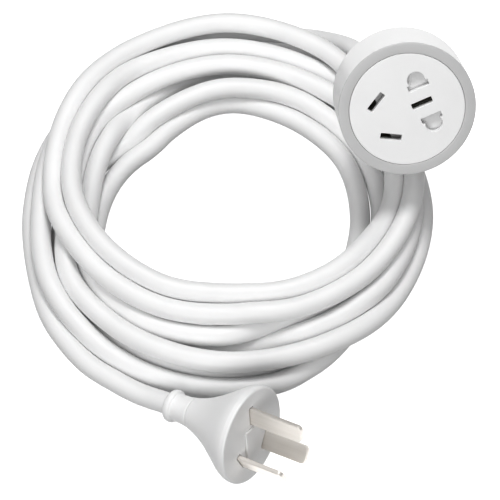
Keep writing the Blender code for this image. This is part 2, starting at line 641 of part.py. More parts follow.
def make_coil():
    """One turned ring with the outer shape of the coil's turns."""
    foot, top = COIL_FOOT_ROUND, COIL_TOP_ROUND
    profile = [
        *arc((COIL_INNER + foot, foot), (foot, foot), 180, 270, 3),
        *arc((COIL_OUTER - foot, foot), (foot, foot), 270, 360, 3),
        *arc((COIL_OUTER - top, COIL_HEIGHT - top), (top, top), 0, 90, 4),
        *arc((COIL_INNER + top, COIL_HEIGHT - top), (top, top), 90, 180, 4),
    ]
    coil = turned("cord_coil", profile, "cord_pvc", None, 48)
    coil.location = COIL_CENTRE * MM


def place_in(empty, point):
    """A point of an empty's frame, in mm in the world."""
    return (empty.matrix_world @ (Vector(point) * MM)) / MM


def make_tails(head, plug):
    exits = (
        ("socket_tail", head, CORD_EXIT_Y, -BOOT_END, SOCKET_TAIL, 13),
        ("plug_tail", plug, 0, -PLUG_BACK, PLUG_TAIL, 5),
    )
    for name, empty, y, z, rest, count in exits:
        route = [place_in(empty, (0, y, z - GAP)), place_in(empty, (0, y, z - 2.5))]
        route += [COIL_CENTRE + Vector(p) for p in rest]
        tube(name, route, CORD_RADIUS, "cord_pvc", count)


def main():
    clear_scene()
    head = frame("socket_head_frame", HEAD_CENTRE, HEAD_OUT, HEAD_EARTH)
    make_shell(head)
    make_bezel(head)
    make_plate(head)
    make_carrier(head)
    make_line_contact("live_contact", 1, head)
    make_line_contact("neutral_contact", -1, head)
    make_earth_contact(head)
    make_shutters(head)
    make_springs(head)
    make_housing_screws(head)
    make_socket_boot(head)
    make_head_cores(head)
    plug = frame("plug_frame", PLUG_CENTRE, PLUG_OUT, PLUG_EARTH)
    make_plug_body(plug)
    make_bridge(plug)
    make_pins(plug)
    make_plug_strain_relief(plug)
    make_coil()
    make_tails(head, plug)


main()
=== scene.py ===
"""The look of the extension cord: its coiled lead, the round socket head and the moulded three-pin plug.

Sizes are in mm in the head's and the plug's own frames, as they are in the part's source, and in
metres once they are in the scene.
"""

import math

import bmesh
import bpy
import numpy as np
from mathutils import Matrix, Vector


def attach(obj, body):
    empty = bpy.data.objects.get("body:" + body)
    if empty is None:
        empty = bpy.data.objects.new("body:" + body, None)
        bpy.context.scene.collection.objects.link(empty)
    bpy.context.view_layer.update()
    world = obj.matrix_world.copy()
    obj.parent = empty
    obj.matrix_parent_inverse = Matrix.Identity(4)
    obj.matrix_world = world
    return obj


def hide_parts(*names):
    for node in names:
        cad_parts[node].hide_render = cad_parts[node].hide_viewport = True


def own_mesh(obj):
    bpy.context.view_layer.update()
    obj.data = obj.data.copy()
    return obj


MM = 0.001
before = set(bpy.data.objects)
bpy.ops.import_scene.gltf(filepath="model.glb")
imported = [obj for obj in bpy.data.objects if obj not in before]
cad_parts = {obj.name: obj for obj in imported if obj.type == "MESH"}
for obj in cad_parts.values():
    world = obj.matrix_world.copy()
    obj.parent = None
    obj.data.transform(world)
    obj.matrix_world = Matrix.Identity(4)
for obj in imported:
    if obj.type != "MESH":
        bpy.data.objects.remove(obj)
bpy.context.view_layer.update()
BODY = "cord_set"

# The frames of the two ends, and the coil's centre, as the part has them
COIL_CENTRE = Vector((-59.75, 0, 0))
CORD_RADIUS = 3.75


def frame_at(centre, out, up):
    """The matrix, in mm, of a frame with +Z along out and +Y as near to up as it can be."""
    z = Vector(out).normalized()
    x = Vector(up).cross(z).normalized()
    turn = Matrix((x, z.cross(x), z)).transposed().to_4x4()
    return Matrix.Translation(COIL_CENTRE + Vector(centre)) @ turn


HEAD_OUT = (0.058, -0.8133, 0.5789)
PLUG_OUT = (0.825, -0.492, 0.278)
HEAD = frame_at((63.1, 8.0, 57.5), HEAD_OUT, (0.9149, 0.2754, 0.2952))
PLUG = frame_at((10.0, -96.2, 17.0), PLUG_OUT, (-0.041, 0.437, 0.898))
CORD_EXIT_Y, BOOT_END = -8.0, 46.0
PLUG_BACK = 33.5

# ---------------------------------------------------------------- camera

camera = bpy.data.objects.new("camera", bpy.data.cameras.new("camera"))
bpy.context.scene.collection.objects.link(camera)
camera.location = (-0.05055, -0.3859, 0.5970)
sight = Vector((-0.05055, -0.0128, 0)) - camera.location
camera.rotation_euler = sight.to_track_quat("-Z", "Y").to_euler()
camera.data.lens = 140
camera.data.sensor_width = 36
camera.data.clip_start = 0.05
bpy.context.scene.camera = camera

# ---------------------------------------------------------------- materials


def colour(value, tint=(1.0, 1.0, 1.0)):
    return (value * tint[0], value * tint[1], value * tint[2], 1.0)


def moulded(name, light, dark, rough, grain=900.0, depth=0.00002, coat=0.0, soft=0.0):
    """Moulded plastic or PVC: two close tints in slow clouds, a fine moulded grain and uneven gloss."""
    made = bpy.data.materials.new(name)
    made.use_nodes = True
    nodes, links = made.node_tree.nodes, made.node_tree.links
    shader = nodes["Principled BSDF"]
    place = nodes.new("ShaderNodeTexCoord")
    clouds = nodes.new("ShaderNodeTexNoise")
    clouds.inputs["Scale"].default_value = 60.0
    clouds.inputs["Detail"].default_value = 4.0
    links.new(place.outputs["Object"], clouds.inputs["Vector"])
    tints = nodes.new("ShaderNodeValToRGB")
    tints.color_ramp.elements[0].position = 0.35
    tints.color_ramp.elements[0].color = dark
    tints.color_ramp.elements[1].position = 0.65
    tints.color_ramp.elements[1].color = light
    links.new(clouds.outputs["Fac"], tints.inputs["Fac"])
    links.new(tints.outputs["Color"], shader.inputs["Base Color"])
    fine = nodes.new("ShaderNodeTexNoise")
    fine.inputs["Scale"].default_value = grain
    fine.inputs["Detail"].default_value = 3.0
    links.new(place.outputs["Object"], fine.inputs["Vector"])
    gloss = nodes.new("ShaderNodeMapRange")
    gloss.inputs["To Min"].default_value = rough - 0.08
    gloss.inputs["To Max"].default_value = rough + 0.08
    links.new(clouds.outputs["Fac"], gloss.inputs["Value"])
    links.new(gloss.outputs["Result"], shader.inputs["Roughness"])
    bump = nodes.new("ShaderNodeBump")
    bump.inputs["Strength"].default_value = 0.6
    bump.inputs["Distance"].default_value = depth
    links.new(fine.outputs["Fac"], bump.inputs["Height"])
    links.new(bump.outputs["Normal"], shader.inputs["Normal"])
    shader.inputs["Coat Weight"].default_value = coat
    shader.inputs["Coat Roughness"].default_value = 0.25
    if soft:
        shader.inputs["Subsurface Weight"].default_value = soft
        shader.inputs["Subsurface Scale"].default_value = 0.001
        shader.inputs["Subsurface Radius"].default_value = (1.0, 0.95, 0.9)
    return made


def metal(name, light, dark, rough, along):
    """Plated or rolled metal with fine drawing marks along one direction, in the world."""
    made = bpy.data.materials.new(name)
    made.use_nodes = True
    nodes, links = made.node_tree.nodes, made.node_tree.links
    shader = nodes["Principled BSDF"]
    shader.inputs["Metallic"].default_value = 1.0
    place = nodes.new("ShaderNodeTexCoord")
    turn = nodes.new("ShaderNodeMapping")
    turn.vector_type = "TEXTURE"
    turn.inputs["Rotation"].default_value = Vector(along).to_track_quat("Z", "Y").to_euler()
    turn.inputs["Scale"].default_value = (1.0, 1.0, 14.0)
    links.new(place.outputs["Object"], turn.inputs["Vector"])
    marks = nodes.new("ShaderNodeTexNoise")
    marks.inputs["Scale"].default_value = 420.0
    marks.inputs["Detail"].default_value = 5.0
    links.new(turn.outputs["Vector"], marks.inputs["Vector"])
    tints = nodes.new("ShaderNodeValToRGB")
    tints.color_ramp.elements[0].position = 0.3
    tints.color_ramp.elements[0].color = dark
    tints.color_ramp.elements[1].position = 0.7
    tints.color_ramp.elements[1].color = light
    links.new(marks.outputs["Fac"], tints.inputs["Fac"])
    links.new(tints.outputs["Color"], shader.inputs["Base Color"])
    gloss = nodes.new("ShaderNodeMapRange")
    gloss.inputs["To Min"].default_value = rough - 0.07
    gloss.inputs["To Max"].default_value = rough + 0.1
    links.new(marks.outputs["Fac"], gloss.inputs["Value"])
    links.new(gloss.outputs["Result"], shader.inputs["Roughness"])
    bump = nodes.new("ShaderNodeBump")
    bump.inputs["Strength"].default_value = 0.35
    bump.inputs["Distance"].default_value = 0.00002
    links.new(marks.outputs["Fac"], bump.inputs["Height"])
    links.new(bump.outputs["Normal"], shader.inputs["Normal"])
    return made


def earth_stripes(name):
    """Core insulation in green with a yellow stripe wound round it."""
    made = moulded(name, colour(1.0, (0.55, 0.62, 0.05)), colour(1.0, (0.48, 0.56, 0.04)), 0.42)
    nodes, links = made.node_tree.nodes, made.node_tree.links
    place = nodes.new("ShaderNodeTexCoord")
    bands = nodes.new("ShaderNodeTexWave")
    bands.inputs["Scale"].default_value = 120.0
    links.new(place.outputs["Object"], bands.inputs["Vector"])
    steps = nodes.new("ShaderNodeValToRGB")
    steps.color_ramp.interpolation = "CONSTANT"
    steps.color_ramp.elements[0].color = (0.04, 0.30, 0.06, 1)
    steps.color_ramp.elements[1].position = 0.5
    steps.color_ramp.elements[1].color = (0.70, 0.62, 0.03, 1)
    links.new(bands.outputs["Fac"], steps.inputs["Fac"])
    links.new(steps.outputs["Color"], nodes["Principled BSDF"].inputs["Base Color"])
    return made


LOOKS = {
    "cord_pvc": moulded(
        "white_pvc", colour(0.88), colour(0.85), 0.48, grain=1400, depth=0.000015, soft=0.1,
    ),
    "shell_plastic": moulded("white_shell", colour(0.88), colour(0.86), 0.32, coat=0.15),
    "grey_plastic": moulded("grey_ring", colour(0.62), colour(0.60), 0.42, grain=1600, depth=0.00003),
    "plate_plastic": moulded("white_plate", colour(0.93), colour(0.91), 0.36, grain=1600, depth=0.00002),
    "shutter_plastic": moulded("grey_shutter", colour(0.78), colour(0.75), 0.45, grain=1200),
    "carrier_plastic": moulded(
        "carrier", colour(0.55, (1, 1, 0.97)), colour(0.50, (1, 1, 0.97)), 0.55, grain=1200,
    ),
    "plug_pvc": moulded(
        "plug_white", colour(0.92), colour(0.90), 0.42, grain=1100, depth=0.00003, soft=0.1,
    ),
    "nickel": metal(
        "nickel_plate", colour(0.86, (1, 0.97, 0.93)), colour(0.76, (1, 0.96, 0.91)), 0.5, PLUG_OUT,
    ),
    "brass": metal("brass_strip", (0.78, 0.58, 0.26, 1), (0.66, 0.46, 0.18, 1), 0.36, HEAD_OUT),
    "steel": metal("steel_wire", (0.62, 0.62, 0.63, 1), (0.46, 0.46, 0.47, 1), 0.32, HEAD_OUT),
    "brown_core": moulded("brown_core", (0.20, 0.09, 0.045, 1), (0.16, 0.07, 0.035, 1), 0.45),
    "blue_core": moulded("blue_core", (0.05, 0.17, 0.52, 1), (0.04, 0.13, 0.44, 1), 0.45),
    "earth_core": earth_stripes("earth_core"),
}
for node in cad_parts.values():
    for place in node.material_slots:
        place.material = LOOKS[place.material.name.split(".")[0]]

# ---------------------------------------------------------------- mesh helpers


def fillet(profile, radius, steps=4, closed=False):
    """A (radius, z) outline with its corners rounded, as far as the edges beside them have room."""
    points = [Vector(p) for p in profile]
    rounded = []
    for i, point in enumerate(points):
        if not closed and i in (0, len(points) - 1):
            rounded.append(tuple(point))
            continue
        before, after = points[i - 1] - point, points[(i + 1) % len(points)] - point
        turn = math.pi - before.angle(after)
        if turn < math.radians(12) or abs(point.x) < 1e-9:
            rounded.append(tuple(point))
            continue
        reach = min(radius * math.tan(turn / 2), before.length * 0.45, after.length * 0.45)
        start, end = point + before.normalized() * reach, point + after.normalized() * reach
        for k in range(steps + 1):
            t = k / steps
            rounded.append(tuple(start.lerp(point, t).lerp(point.lerp(end, t), t)))
    return rounded


def even(profile, longest):
    """The same outline with no step longer than the length given."""
    out = [profile[0]]
    for (r0, z0), (r1, z1) in zip(profile, profile[1:]):
        count = max(1, math.ceil(math.hypot(r1 - r0, z1 - z0) / longest))
        out += [(r0 + (r1 - r0) * k / count, z0 + (z1 - z0) * k / count) for k in range(1, count + 1)]
    return out


def spin_into(bm, profile, segments, centre=(0, 0)):
    """Turns a closed outline of (radius, z) about the Z axis through centre."""
    verts = [bm.verts.new((centre[0] + r, centre[1], z)) for r, z in profile]
    ends = list(zip(verts, verts[1:] + verts[:1]))
    on_axis = [abs(r) < 1e-9 for r, _ in profile]
    edges = [
        bm.edges.new(pair)
        for i, pair in enumerate(ends)
        if not (on_axis[i] and on_axis[(i + 1) % len(profile)])
    ]
    bmesh.ops.spin(
        bm, geom=verts + edges, cent=(*centre, 0), axis=(0, 0, 1), angle=math.tau,
        steps=segments, use_merge=True,
    )


def piece_of(bm, name, place, slot, smooth_below=40.0):
    """An object from bm, drawn in mm in the frame given, with the look of a material slot."""
    bmesh.ops.remove_doubles(bm, verts=bm.verts, dist=1e-5)
    bmesh.ops.recalc_face_normals(bm, faces=bm.faces)
    bmesh.ops.transform(bm, matrix=Matrix.Scale(MM, 4) @ place, verts=bm.verts)
    mesh = bpy.data.meshes.new(name)
    bm.to_mesh(mesh)
    bm.free()
    mesh.shade_smooth()
    mesh.set_sharp_from_angle(angle=math.radians(smooth_below))
    made = bpy.data.objects.new(name, mesh)
    made.data.materials.append(LOOKS[slot])
    bpy.context.scene.collection.objects.link(made)
    return made


def turned(name, profile, slot, place, segments=144, centre=(0, 0), smooth_below=40.0):
    bm = bmesh.new()
    spin_into(bm, profile, segments, centre)
    return piece_of(bm, name, place, slot, smooth_below)


def prism_into(bm, outline, low, high):
    """A straight prism over a closed outline of (x, y), from z = low to z = high."""
    face = bm.faces.new([bm.verts.new((x, y, low)) for x, y in outline])
    grown = bmesh.ops.extrude_face_region(bm, geom=[face])["geom"]
    top = [v for v in grown if isinstance(v, bmesh.types.BMVert)]
    bmesh.ops.translate(bm, vec=(0, 0, high - low), verts=top)


def apply_modifiers(target):
    """Replaces the target's mesh with its evaluated one, and drops the modifiers."""
    shown = target.evaluated_get(bpy.context.evaluated_depsgraph_get())
    mesh = bpy.data.meshes.new_from_object(shown)
    old = target.data
    target.modifiers.clear()
    target.data = mesh
    bpy.data.meshes.remove(old)


def cut(target, bm, place, operation="DIFFERENCE"):
    """Cuts the shapes in bm out of the target, or joins them to it."""
    tool = piece_of(bm, "tool", place, "cord_pvc")
    modifier = target.modifiers.new("cut", "BOOLEAN")
    modifier.operation = operation
    modifier.object = tool
    modifier.solver = "EXACT"
    modifier.material_mode = "INDEX"
    apply_modifiers(target)
    bpy.data.objects.remove(tool, do_unlink=True)


def level(target):
    """Lets each flat face keep its own shading beside the rounded ones."""
    target.data.set_sharp_from_angle(angle=math.radians(45))
    weighted = target.modifiers.new("normals", "WEIGHTED_NORMAL")
    weighted.keep_sharp = True
    weighted.weight = 100
    apply_modifiers(target)


def soften(target, width, segments=2, angle=50.0):
    """Small rounded edges where faces meet sharply."""
    bevel = target.modifiers.new("edges", "BEVEL")
    bevel.width = width * MM
    bevel.segments = segments
    bevel.limit_method = "ANGLE"
    bevel.angle_limit = math.radians(angle)
    apply_modifiers(target)
    level(target)


def box_outline(width, height, centre=(0, 0), lean=0.0, corner=0.0, steps=3):
    """A rectangle with its height along Y, leant from Y towards +X, with rounded corners if asked."""
    c, s = math.cos(lean), math.sin(lean)
    points = []
    for sx, sy, start in ((-1, -1, 180), (1, -1, 270), (1, 1, 0), (-1, 1, 90)):
        x, y = sx * (width / 2 - corner), sy * (height / 2 - corner)
        if not corner:
            points.append((x, y))
            continue
        for k in range(steps + 1):
            a = math.radians(start + 90 * k / steps)
            points.append((x + corner * math.cos(a), y + corner * math.sin(a)))
    return [(centre[0] + x * c + y * s, centre[1] - x * s + y * c) for x, y in points]


def circle_outline(radius, centre=(0, 0), segments=48, start=0.0, turn=math.tau):
    count = segments if turn == math.tau else segments + 1
    angles = [start + turn * i / segments for i in range(count)]
    return [(centre[0] + radius * math.cos(a), centre[1] + radius * math.sin(a)) for a in angles]


def arc(centre, radii, start, end, steps):
    angles = [math.radians(start + (end - start) * i / steps) for i in range(steps + 1)]
    return [(centre[0] + radii[0] * math.cos(a), centre[1] + radii[1] * math.sin(a)) for a in angles]


# ---------------------------------------------------------------- the cord

# Each turn of the coil from the back, anticlockwise seen from above: (radius, height) in mm of the
# cord's centre every 30 degrees. The turns are uneven, so each has stations of its own.
TURNS = (
    (
        (81.8, 3.8), (75, 9), (69, 10.5), (66, 10.5), (70, 9.5), (71, 4.5), (70.8, 3.8),
        (68.3, 3.8), (63.5, 3.8), (64.5, 3.8), (65.5, 3.8), (66.5, 3.8),
    ),
    (
        (66.5, 3.8), (58.5, 5), (52.5, 10), (49.5, 11), (55.5, 11.5), (56.2, 11.8), (55.7, 11.3),
        (55.4, 11.0), (56.5, 8), (57, 3.8), (57, 3.8), (54.5, 7),
    ),
    (
        (51.5, 11), (48.5, 9), (51.5, 5.5), (58.5, 3.8), (62.5, 3.8), (63.3, 3.8), (63.5, 3.8),
        (58.5, 3.8), (51, 3.8), (49.3, 3.8), (50.5, 3.8), (51, 3.8),
    ),
    (
        (50.5, 3.8), (45.5, 3.8), (44.5, 3.8), (46.5, 3.8), (52.5, 3.8), (55.8, 3.8), (55.8, 3.8),
        (59.5, 8.5), (65.3, 10.3), (68, 10.4), (65.5, 10.5), (63.5, 10.5),
    ),
    (
        (63.2, 10.8), (60.3, 11.3), (56, 12.5), (55.5, 12.5), (62, 11), (63, 10.5), (65, 10.8),
        (67.3, 10.5), (69.5, 4.5), (72, 3.8), (71.5, 5.5), (70, 9.5),
    ),
    (
        (70.7, 10.9), (67, 13), (60, 16.5), (54.3, 19.5), (48.8, 20), (44.8, 19), (42.8, 18.3),
        (48.6, 18.5), (54, 18), (61, 14.5), (66, 17.5), (75.5, 16.5),
    ),
    (
        (79.8, 15), (74.3, 15.5), (67, 15.5), (60.9, 14.8), (54.8, 15.5), (52, 15.5), (49.5, 15.5),
        (53.5, 15.8), (59.5, 16.5), (67.2, 17.5), (73, 14), (76.5, 7),
    ),
    (
        (74.8, 3.8), (72.5, 3.8), (71, 3.8), (69.6, 3.8), (72.7, 3.8),
    ),
)
# From the head's boot down outside the top turn, and from the last turn to the plug
FROM_HEAD = (
    (52.6, 51.8, 24.0), (51.0, 60.6, 18.4), (47.4, 69.0, 13.0), (41.0, 75.2, 8.6), (32.8, 79.4, 5.6),
    (23.0, 81.6, 4.1), (12.0, 82.6, 3.9),
)
TO_PLUG = ((-49.5, -58.5, 3.8), (-36.3, -68.6, 3.9), (-29.8, -72.9, 4.1), (-23.9, -76.2, 5.2))


def smooth_route(points, spacing):
    """Points spread evenly along a Catmull-Rom curve through the ones given."""
    points = np.asarray(points, float)
    ends = np.vstack([2 * points[0] - points[1], points, 2 * points[-1] - points[-2]])
    t = np.linspace(0, 1, 25)[:-1, None]
    fine = np.vstack([
        (2 * b + (c - a) * t + (2 * a - 5 * b + 4 * c - d) * t**2 + (3 * b - a - 3 * c + d) * t**3) / 2
        for a, b, c, d in zip(ends, ends[1:], ends[2:], ends[3:])
    ] + [points[-1:]])
    along = np.concatenate([[0], np.cumsum(np.linalg.norm(np.diff(fine, axis=0), axis=1))])
    want = np.linspace(0, along[-1], int(round(along[-1] / spacing)) + 1)
    return np.stack([np.interp(want, along, fine[:, k]) for k in range(3)], 1)


ROUTE_STEP, FINE_STEP, SETTLE_STEPS = 5.0, 2.0, 240
HELD_POINTS, TIGHTEST_BEND, PULL_HOME = 3, 34.0, 0.03


def settle(home, steps):
    """Eases the turns apart, until hardly any two share room, keeps them off the floor, and opens bends
    sharper than TIGHTEST_BEND, while each stays near its place. The ends are held."""
    route = home.copy()
    count, clear = len(route), 2 * CORD_RADIUS
    free = np.ones((count, 1))
    free[:HELD_POINTS] = free[-HELD_POINTS:] = 0
    first, second = np.triu_indices(count, 4)
    for step in range(steps):
        if step % 10 == 0:
            near = np.linalg.norm(route[first] - route[second], axis=1) < clear + 4
            a, b = first[near], second[near]
        route += PULL_HOME * (home - route) * free
        moved = route - home
        route[1:-1] += 0.5 * ((moved[:-2] + moved[2:]) / 2 - moved[1:-1]) * free[1:-1]
        bend = route[:-2] - 2 * route[1:-1] + route[2:]
        size = np.linalg.norm(bend, axis=1, keepdims=True) + 1e-9
        excess = np.maximum(0, size - ROUTE_STEP**2 / TIGHTEST_BEND) / size * bend
        route[1:-1] += 0.25 * excess * free[1:-1]
        route[:-2] -= 0.125 * excess * free[:-2]
        route[2:] -= 0.125 * excess * free[2:]
        for _ in range(6):
            gap = route[a] - route[b]
            apart = np.linalg.norm(gap, axis=1, keepdims=True)
            push = np.maximum(0, clear - apart) / apart * gap
            total, met = np.zeros_like(route), np.zeros((count, 1))
            touching = push.any(axis=1, keepdims=True) * 1.0
            np.add.at(total, a, push)
            np.add.at(total, b, -push)
            np.add.at(met, a, touching)
            np.add.at(met, b, touching)
            route += 0.5 * total / np.maximum(1, met) * free
            middle = route[HELD_POINTS:-HELD_POINTS]
            middle[:, 2] = np.maximum(middle[:, 2], CORD_RADIUS + 0.02)
    return route


def in_coil(place, point):
    return np.array(place @ Vector(point) - COIL_CENTRE)


stations = [in_coil(HEAD, (0, CORD_EXIT_Y, -BOOT_END + back)) for back in (1.4, -1.0, -3.4)]
stations += [np.array(point, float) for point in FROM_HEAD]
for turn in TURNS:
    for k, (radius, height) in enumerate(turn):
        angle = math.radians(90 + 30 * k)
        stations.append(np.array([radius * math.cos(angle), radius * math.sin(angle), height]))
stations += [np.array(point, float) for point in TO_PLUG]
stations += [in_coil(PLUG, (0, 0, -PLUG_BACK + back)) for back in (-2.4, -0.5, 1.4)]
laid = settle(smooth_route(stations, ROUTE_STEP), SETTLE_STEPS)
laid = smooth_route(laid, FINE_STEP)
laid_m = (laid + np.array(COIL_CENTRE)) * MM

lead = bpy.data.curves.new("cord", "CURVE")
lead.dimensions = "3D"
spline = lead.splines.new("POLY")
spline.points.add(len(laid_m) - 1)
for point, at in zip(spline.points, laid_m):
    point.co = (*at, 1.0)
lead.bevel_depth = CORD_RADIUS * MM
lead.bevel_resolution = 7
lead.use_fill_caps = True
cord = bpy.data.objects.new("cord", lead)
lead.materials.append(LOOKS["cord_pvc"])
bpy.context.scene.collection.objects.link(cord)
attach(cord, BODY)
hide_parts("cord_coil", "socket_tail", "plug_tail")

# ---------------------------------------------------------------- the socket head


def show(made, slot, *nodes):
    """Gives a piece its body and hides the CAD nodes it stands for. The slot argument is not used."""
    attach(made, BODY)
    if nodes:
        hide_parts(*nodes)
    return made


HEAD_RADIUS, HEAD_STRAIGHT, HEAD_DEPTH, HEAD_BACK_FLAT = 23.75, 18.5, 25.0, 17.5
SHELL_INNER, SHELL_BACK_INNER = 21.5, 22.8
BEZEL_SEAT, BEZEL_OUTER, BEZEL_INNER, BEZEL_DEPTH, BEZEL_FLANGE = 22.9, 22.6, 20.05, 3.0, 0.8
PLATE_RADIUS, PLATE_DEPTH = 19.75, 2.2
SLOT_LONG, SLOT_WIDE, SLOT_CORNER, HEAD_PATTERN_Y = 7.4, 2.1, 0.25, -4.8
TWO_POLE_Y, ROUND_HOLE_X, ROUND_HOLE_R, FLAT_HOLE_X, FLAT_HOLE_WIDE = 6.6, 8.5, 3.0, 6.35, 2.2
EARTH_UP, LINE_SIDE, LINE_DOWN, LINE_LEAN = 10.31, 6.86, -3.96, math.radians(30)
POST_X, POST_Y = 14.5, -2.0
CORD_HOLE_R, SCREW_HEAD_R, SCREW_SHAFT_R = 4.9, 2.9, 1.7
seat = BEZEL_DEPTH + 0.2
back_face, back_inside = -HEAD_DEPTH, -SHELL_BACK_INNER + 1

rim = BEZEL_FLANGE + 0.1
outer = [(BEZEL_SEAT, -rim), (HEAD_RADIUS, -rim), (HEAD_RADIUS, -HEAD_STRAIGHT)]
curve = (HEAD_RADIUS - HEAD_BACK_FLAT, HEAD_DEPTH - HEAD_STRAIGHT)
outer += arc((HEAD_BACK_FLAT, -HEAD_STRAIGHT), curve, 0, -90, 16)[1:]
outer += [(0, -HEAD_DEPTH)]
inner = [(0, -SHELL_BACK_INNER)]
curve = (SHELL_INNER - HEAD_BACK_FLAT + 1, SHELL_BACK_INNER - HEAD_STRAIGHT)
inner += arc((HEAD_BACK_FLAT - 1, -HEAD_STRAIGHT), curve, -90, 0, 8)
inner += [(SHELL_INNER, -seat), (BEZEL_SEAT, -seat)]
profile = fillet(outer + inner, 0.2, 4, closed=True)
shell = turned("head_shell", profile, "shell_plastic", HEAD, 160)
openings = bmesh.new()
prism_into(openings, circle_outline(CORD_HOLE_R, (0, CORD_EXIT_Y), 64), back_face - 1, back_inside)
for side in (-1, 1):
    recess = circle_outline(SCREW_HEAD_R, (side * POST_X, POST_Y), 48)
    prism_into(openings, recess, back_face - 1, back_face + 1.1)
cut(shell, openings, HEAD)
shafts = bmesh.new()
for side in (-1, 1):
    shaft = circle_outline(SCREW_SHAFT_R, (side * POST_X, POST_Y), 32)
    prism_into(shafts, shaft, back_face - 0.5, back_inside)
cut(shell, shafts, HEAD)
level(shell)
show(shell, "shell_plastic", "back_shell")

profile = [
    (BEZEL_INNER, -BEZEL_DEPTH), (BEZEL_INNER, 0), (HEAD_RADIUS, 0), (HEAD_RADIUS, -BEZEL_FLANGE),
    (BEZEL_OUTER, -BEZEL_FLANGE), (BEZEL_OUTER, -BEZEL_DEPTH),
]
bezel = turned("head_ring", fillet(profile[::-1], 0.3, 4, closed=True), "grey_plastic", HEAD, 160)
show(bezel, "grey_plastic", "bezel_ring")


def keyhole(side):
    """A round hole that runs into a flat slot nearer the middle."""
    far, near = FLAT_HOLE_X + FLAT_HOLE_WIDE / 2, FLAT_HOLE_X - FLAT_HOLE_WIDE / 2
    half = SLOT_LONG / 2
    reach = math.acos((ROUND_HOLE_X - far) / ROUND_HOLE_R)
    sweep = math.pi - reach
    bulge = circle_outline(ROUND_HOLE_R, (ROUND_HOLE_X, 0), 40, -sweep, 2 * sweep)
    shape = [(far, -half), *bulge, (far, half), (near, half), (near, -half)]
    return [(side * x, TWO_POLE_Y + y) for x, y in shape]


def line_slots(pattern_y):
    """The centre and lean of each of the two tilted slots or pins."""
    return [((side * LINE_SIDE, pattern_y + LINE_DOWN), side * LINE_LEAN) for side in (-1, 1)]


disc = bmesh.new()
prism_into(disc, circle_outline(PLATE_RADIUS + 0.2, segments=160), -PLATE_DEPTH, 0)
plate = piece_of(disc, "head_plate", HEAD, "plate_plastic")
slots = bmesh.new()
outlines = [box_outline(SLOT_WIDE, SLOT_LONG, *at, SLOT_CORNER) for at in line_slots(HEAD_PATTERN_Y)]
outlines += [keyhole(side) for side in (-1, 1)]
outlines += [box_outline(SLOT_WIDE, SLOT_LONG, (0, HEAD_PATTERN_Y + EARTH_UP), 0, SLOT_CORNER)]
for outline in outlines:
    prism_into(slots, outline, -PLATE_DEPTH - 1, 1)
cut(plate, slots, HEAD)
soften(plate, 0.18, 3)
show(plate, "plate_plastic", "face_plate")

flange_out, outside = SHELL_BACK_INNER - 0.3, HEAD_DEPTH + 0.3
ribs, start, pitch = 4, outside + 2.2, 4.0
profile = [
    (0, -21.2), (6.4, -21.2), (6.4, -flange_out), (4.6, -flange_out), (4.6, -outside),
    (5.8, -outside), (5.8, -outside - 1.6),
]
for i in range(ribs):
    at, radius = start + i * pitch, 5.5 - 0.22 * i
    profile += [
        (radius, -at), (radius - 0.1, -at - 2.6), (radius - 0.8, -at - 2.9), (radius - 0.8, -at - 3.7),
    ]
profile += [
    (4.55, -start - ribs * pitch), (4.45, -BOOT_END), (3.85, -BOOT_END), (3.85, -BOOT_END + 2),
    (0, -BOOT_END + 2),
]
outline = even(fillet(profile, 0.3, 4), 0.8)
boot = turned("head_boot", outline, "cord_pvc", HEAD, 72, (0, CORD_EXIT_Y), 60)
show(boot, "cord_pvc", "socket_strain_relief")

WIRE_RADIUS, POINTS_PER_TURN = 0.15, 24


def spring(name, x, start_y, end_y, depth, coil_radius, turns):
    """A helical spring along the head's Y, drawn at one fixed length from start_y to end_y."""
    away = math.copysign(WIRE_RADIUS, end_y - start_y)
    count = turns * POINTS_PER_TURN
    wound = bpy.data.curves.new(name, "CURVE")
    wound.dimensions = "3D"
    coils = wound.splines.new("POLY")
    coils.points.add(count)
    for i, point in enumerate(coils.points):
        angle = math.tau * i / POINTS_PER_TURN
        y = start_y + away + (end_y - start_y - 2 * away) * i / count
        turned_by = (x + coil_radius * math.cos(angle), y, coil_radius * math.sin(angle) - depth)
        point.co = (*(HEAD @ Vector(turned_by) * MM), 1.0)
    wound.bevel_depth = WIRE_RADIUS * MM
    wound.bevel_resolution = 3
    wound.use_fill_caps = True
    line = bpy.data.objects.new(f"{name}_line", wound)
    bpy.context.scene.collection.objects.link(line)
    mesh = bpy.data.meshes.new_from_object(line.evaluated_get(bpy.context.evaluated_depsgraph_get()))
    bpy.data.objects.remove(line, do_unlink=True)
    mesh.materials.clear()
    mesh.materials.append(LOOKS["steel"])
    mesh.shade_smooth()
    made = bpy.data.objects.new(f"{name}_wire", mesh)
    bpy.context.scene.collection.objects.link(made)
    show(made, "steel", name)
    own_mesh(made)


spring("two_pole_spring", 0, -1.2, -16.3, 3.45, 0.65, 9)
for word, side in (("left", -1), ("right", 1)):
    spring(
        f"three_pole_spring_{word}", side * 3.45, -3.3, 5.0, 5.8, 0.7, 6,
    )

# ---------------------------------------------------------------- the plug

